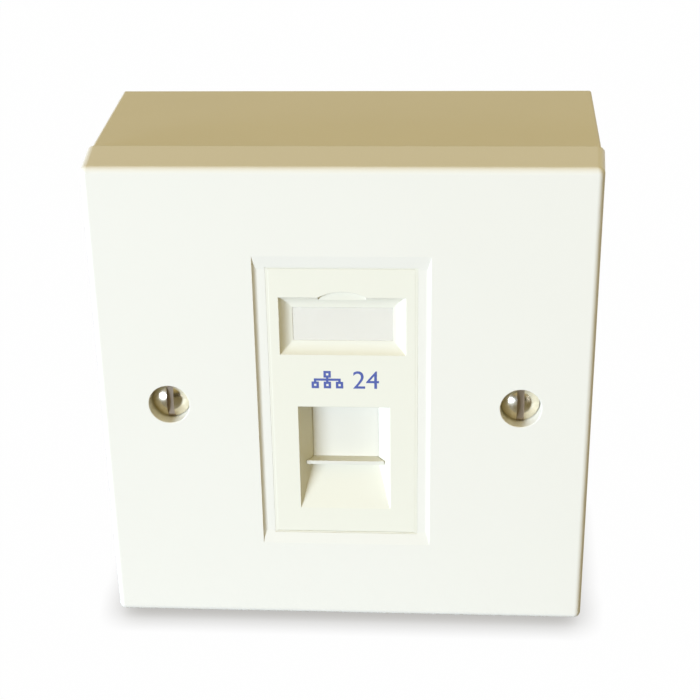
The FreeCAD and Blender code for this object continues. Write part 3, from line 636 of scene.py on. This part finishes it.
# %% Sign
MARK_ACROSS = 0.3 * MM
MARK_MIDDLE = 4.85 * MM
MARK_HEIGHT = 3.25 * MM
MARK_WIDTH = 11.5 * MM
SIGN_WIDTH = 5.4 * MM
LINE = 0.42 * MM
BOX = 1.25 * MM
module_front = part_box("module_bezel")[0].y


def apply_place():
    """Moves the selected object's place, turn and scale into its mesh."""
    bpy.ops.object.transform_apply(location=True, rotation=True, scale=True)


def front_patch(x, z, width, height, frame_line=0.0):
    """A flat patch on the module's front, or a frame where a line width is given."""
    bpy.ops.object.select_all(action="DESELECT")
    bpy.ops.mesh.primitive_plane_add(size=1.0, location=(x, module_front, z), rotation=FACING_FRONT)
    patch = bpy.context.object
    patch.scale = (width, height, 1.0)
    apply_place()
    if frame_line:
        bpy.ops.object.mode_set(mode="EDIT")
        bpy.ops.mesh.select_all(action="SELECT")
        bpy.ops.mesh.inset(thickness=frame_line, use_boundary=True)
        bpy.ops.mesh.delete(type="FACE")
        bpy.ops.object.mode_set(mode="OBJECT")
    return patch


def join_pieces(pieces, name):
    """Makes the pieces one object, which stays selected."""
    bpy.ops.object.select_all(action="DESELECT")
    for piece in pieces:
        piece.select_set(True)
    bpy.context.view_layer.objects.active = pieces[0]
    bpy.ops.object.join()
    joined = bpy.context.object
    joined.name = name
    return joined


sign_left = MARK_ACROSS - MARK_WIDTH / 2
low_row = MARK_MIDDLE - MARK_HEIGHT / 2 + BOX / 2
high_row = MARK_MIDDLE + MARK_HEIGHT / 2 - BOX / 2
columns = [sign_left + BOX / 2, sign_left + SIGN_WIDTH / 2, sign_left + SIGN_WIDTH - BOX / 2]
bus = (low_row + high_row) / 2
stem = high_row - BOX / 2 - bus - LINE / 2
patches = [front_patch(columns[1], high_row, BOX, BOX, LINE)]
patches.append(front_patch(columns[1], bus + (LINE + stem) / 2, LINE, stem))
patches.append(front_patch(columns[1], bus, columns[2] - columns[0] + LINE, LINE))
for column in columns:
    patches.append(front_patch(column, low_row, BOX, BOX, LINE))
    patches.append(front_patch(column, bus - (LINE + stem) / 2, LINE, stem))
sign = join_pieces(patches, "port_sign")
print("sign of", len(patches), "patches")

# %% [markdown]
# ## The port number
#
# The number is a text object made into a mesh. That mesh has a few points almost on top of each other
# and many small triangles, so the points are merged and the flat faces dissolved into one another.
# Its height is then brought to the sign's, and its right edge to the end of the print.

# %% Number
PORT_NUMBER = "24"
CURVE_STEPS = 6
SHORTEST_EDGE = 0.002 * MM
bpy.ops.object.select_all(action="DESELECT")
bpy.ops.object.text_add(rotation=FACING_FRONT)
number = bpy.context.object
number.data.body = PORT_NUMBER
number.data.size = MARK_HEIGHT
number.data.resolution_u = CURVE_STEPS
bpy.ops.object.convert(target="MESH")
number = bpy.context.object
bpy.ops.object.mode_set(mode="EDIT")
bpy.ops.mesh.select_all(action="SELECT")
bpy.ops.mesh.remove_doubles(threshold=SHORTEST_EDGE)
bpy.ops.mesh.dissolve_limited(angle_limit=math.radians(1))
bpy.ops.object.mode_set(mode="OBJECT")


def end_corners(piece):
    """The lowest and the highest corner of a piece, the first and seventh of its bound_box."""
    return Vector(piece.bound_box[0]), Vector(piece.bound_box[6])


low, high = end_corners(number)
number.scale = (MARK_HEIGHT / (high.y - low.y),) * 3
apply_place()
low, high = end_corners(number)
shift_x = MARK_ACROSS + MARK_WIDTH / 2 - high.x
shift_z = MARK_MIDDLE - MARK_HEIGHT / 2 - low.z
bpy.ops.transform.translate(value=(shift_x, module_front - low.y, shift_z))
apply_place()
print("number of", len(number.data.polygons), "faces")

# %% [markdown]
# ## The print's ink
#
# Sign and number are joined, and a Solidify modifier gives the ink its body. The ink is a satin blue
# that covers a little unevenly, as ink from a soft pad does.

# %% Ink
INK_BODY = 0.02 * MM
INK_SHADE = (0.07, 0.10, 0.33)
INK_TONE = (0.10, 0.135, 0.38)
TO_FRONT = 1.0
TO_BACK = -1.0


def thicken(piece, body, side):
    """Gives the flat, active piece its body, to the front or to the back."""
    solid = piece.modifiers.new("body", "SOLIDIFY")
    solid.thickness = body
    solid.offset = side
    bpy.ops.object.modifier_apply(modifier=solid.name)


print_blue, tree, shader = new_finish("print_blue")
cover = noise(tree, own_place(tree), scale=2500.0, detail=3.0)
fill(shader, {"Roughness": 0.4})
tree.links.new(colour_ramp(tree, cover, INK_SHADE, INK_TONE), shader.inputs["Base Color"])
mark = join_pieces([sign, number], "port_mark")
thicken(mark, INK_BODY, TO_FRONT)
mark.data.materials.clear()
mark.data.materials.append(print_blue)
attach(mark, "housing")
print("port mark", [round(c / MM, 3) for c in mark.dimensions], "mm")

# %% [markdown]
# ## The edge round the module
#
# The module snaps into the plate with a hair of play all round. On the real one a soft flange fills
# that play, so the joint shows as a faint line and not as a black slit. The flange is a frame made the
# same way as the boxes of the sign: a plane, an inset and a Solidify modifier. An inset is equally
# wide on all sides, so the plane starts too narrow and is stretched to width afterwards, which makes
# the frame's sides wider than its ends.

# %% Module flange
MODULE_WIDTH = 25.0 * MM
MODULE_HEIGHT = 50.0 * MM
MODULE_PLAY = 0.15 * MM
FLANGE_SIDE = 0.48 * MM
FLANGE_END = 0.24 * MM
FLANGE_BACK = 0.015 * MM
FLANGE_BODY = 0.5 * MM
stretch = FLANGE_SIDE / FLANGE_END
flange_width = MODULE_WIDTH + 2 * MODULE_PLAY
flange_height = MODULE_HEIGHT + 2 * MODULE_PLAY
flange = front_patch(0, 0, flange_width / stretch, flange_height, FLANGE_END)
flange.name = "module_flange"
flange.scale.x = stretch
apply_place()
thicken(flange, FLANGE_BODY, TO_BACK)
bpy.ops.transform.translate(value=(0, FLANGE_BACK, 0))
apply_place()
flange.data.materials.append(PLASTICS["module_plastic"])
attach(flange, "housing")
print("module flange", [round(c / MM, 2) for c in flange.dimensions], "mm")

# %% [markdown]
# ## The label
#
# In the CAD model the label's window and its card touch, as the real ones do. Two faces in one place
# confuse a ray tracer, which can't tell which it met first, so both are built again here with a hair
# of air between them. They also take up the play of their seat, because the real window is pressed in
# and shows no gap. Each is a cube brought to size, and a small bevel lets the window's rim catch the
# light.

# %% Label window and card
WINDOW_SHEET = 0.03 * MM
WINDOW_AIR = 0.015 * MM
WINDOW_RIM = 0.006 * MM
SEAT_PLAY = Vector((0.1 * MM, 0, 0.1 * MM))
window_low, window_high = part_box("label_window")
card_low, card_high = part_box("label_card")
window_low, window_high = window_low - SEAT_PLAY, window_high + SEAT_PLAY
card_low, card_high = card_low - SEAT_PLAY, card_high + SEAT_PLAY


def slab(name, low, high, finish, rim=0.0):
    """A box between two corners, with its edges bevelled where a rim is given."""
    bpy.ops.object.select_all(action="DESELECT")
    bpy.ops.mesh.primitive_cube_add(size=1.0, location=(low + high) / 2)
    piece = bpy.context.object
    piece.name = name
    piece.scale = high - low
    apply_place()
    if rim:
        bpy.ops.object.mode_set(mode="EDIT")
        bpy.ops.mesh.select_all(action="SELECT")
        bpy.ops.mesh.bevel(offset=rim, segments=2, affect="EDGES")
        bpy.ops.object.mode_set(mode="OBJECT")
    piece.data.materials.append(finish)
    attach(piece, "housing")
    return piece


sheet_back = window_low.y + WINDOW_SHEET
sheet_high = Vector((window_high.x, sheet_back, window_high.z))
window = slab("label_sheet", window_low, sheet_high, window_clear, WINDOW_RIM)
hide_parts("label_window")
slip_low = Vector((card_low.x, sheet_back + WINDOW_AIR, card_low.z))
card = slab("label_slip", slip_low, card_high, card_paper)
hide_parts("label_card")
print("label card", [round(c / MM, 2) for c in card.dimensions], "mm")

# %% [markdown]
# ## The return spring
#
# Behind the module a small coil pushes the shutter shut. The CAD spring has square wire, to keep its
# facets few. Here one round section is swept by the Screw modifier, a turn at a time. A curve with a
# bevel would do as well, but the modifier says plainly how many turns there are and how far each one
# climbs.

# %% Return spring
WIRE = 0.36 * MM
WIRE_SIDES = 12
TURNS = 8
STEPS = 24
SEAM_GAP = 0.001 * MM
SMOOTH_ANGLE = math.radians(40)
spring_low, spring_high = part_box("shutter_spring")
middle = (spring_low + spring_high) / 2
coil_radius = (spring_high.x - spring_low.x - WIRE) / 2
coil_height = spring_high.z - spring_low.z - WIRE
bpy.ops.object.select_all(action="DESELECT")
bpy.ops.mesh.primitive_circle_add(
    vertices=WIRE_SIDES, radius=WIRE / 2, location=(coil_radius, 0, 0), rotation=FACING_FRONT
)
spring = bpy.context.object
spring.name = "return_spring"
apply_place()
sweep = spring.modifiers.new("coil", "SCREW")
sweep.axis = "Z"
sweep.steps = STEPS
sweep.render_steps = STEPS
sweep.iterations = TURNS
sweep.screw_offset = coil_height / TURNS
bpy.ops.object.modifier_apply(modifier=sweep.name)
bpy.ops.object.mode_set(mode="EDIT")
bpy.ops.mesh.select_all(action="SELECT")
bpy.ops.mesh.remove_doubles(threshold=SEAM_GAP)
bpy.ops.mesh.fill_holes(sides=0)
bpy.ops.mesh.normals_make_consistent(inside=False)
bpy.ops.object.mode_set(mode="OBJECT")
bpy.ops.object.shade_smooth_by_angle(angle=SMOOTH_ANGLE)
bpy.ops.transform.translate(value=(middle.x, middle.y, spring_low.z + WIRE / 2))
apply_place()
spring.data.materials.clear()
spring.data.materials.append(METALS["spring_steel"])
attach(spring, "housing")
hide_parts("shutter_spring")
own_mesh(spring)
